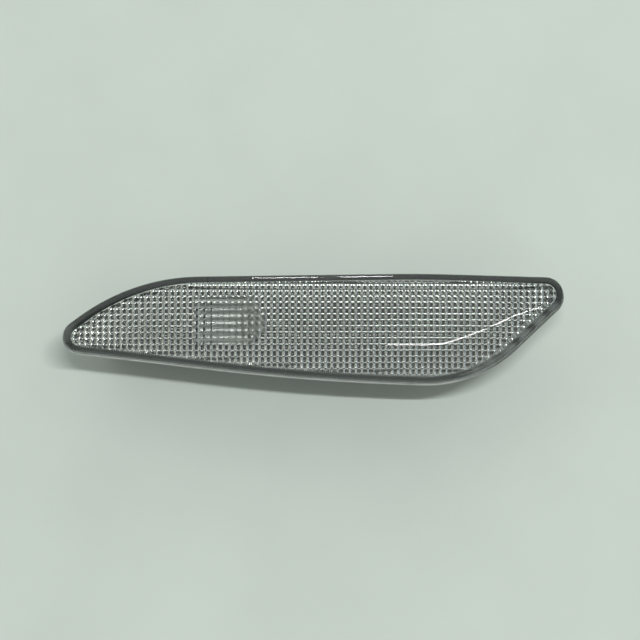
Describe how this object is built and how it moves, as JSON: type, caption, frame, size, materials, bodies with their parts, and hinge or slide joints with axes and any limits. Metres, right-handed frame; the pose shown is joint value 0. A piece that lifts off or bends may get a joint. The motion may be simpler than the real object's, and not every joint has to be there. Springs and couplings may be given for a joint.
{
  "type": "side repeater lamp",
  "caption": "Slim side repeater lamp for a car's front wing: clear lens with pillow optics on a dark housing with a gasket, bulb holder and spring clip.",
  "frame": {"origin": "middle of the seat on the car's panel, in the plane of the gasket's face", "axes": "+Z out of the car through the lens, +X along the lamp towards its blunt end, +Y towards its straight upper edge"},
  "size_m": [0.1303, 0.0291, 0.0277],
  "materials": {
    "clear_lens": "clear, polished, pillow optics inside",
    "dark_housing": "moulded, glossy where the lens covers it",
    "mirror_coat": "metallised plastic",
    "foam_rubber": "closed-cell foam",
    "bulb_glass": "silvered glass",
    "lead_wire": "nickel wire",
    "black_plastic": "moulded, satin",
    "seal_rubber": "soft silicone",
    "brass_contact": "tinned strip",
    "spring_steel": "zinc-plated strip"
  },
  "bodies": {
    "root": {"lens": "clear_lens", "housing": "dark_housing", "reflector": "mirror_coat", "gasket": "foam_rubber", "bulb": "bulb_glass", "bulb_wire_a": "lead_wire", "bulb_wire_b": "lead_wire", "holder_body": "black_plastic", "holder_seal": "seal_rubber", "terminal_a": "brass_contact", "terminal_b": "brass_contact", "spring_clip": "spring_steel"}
  },
  "joints": []
}
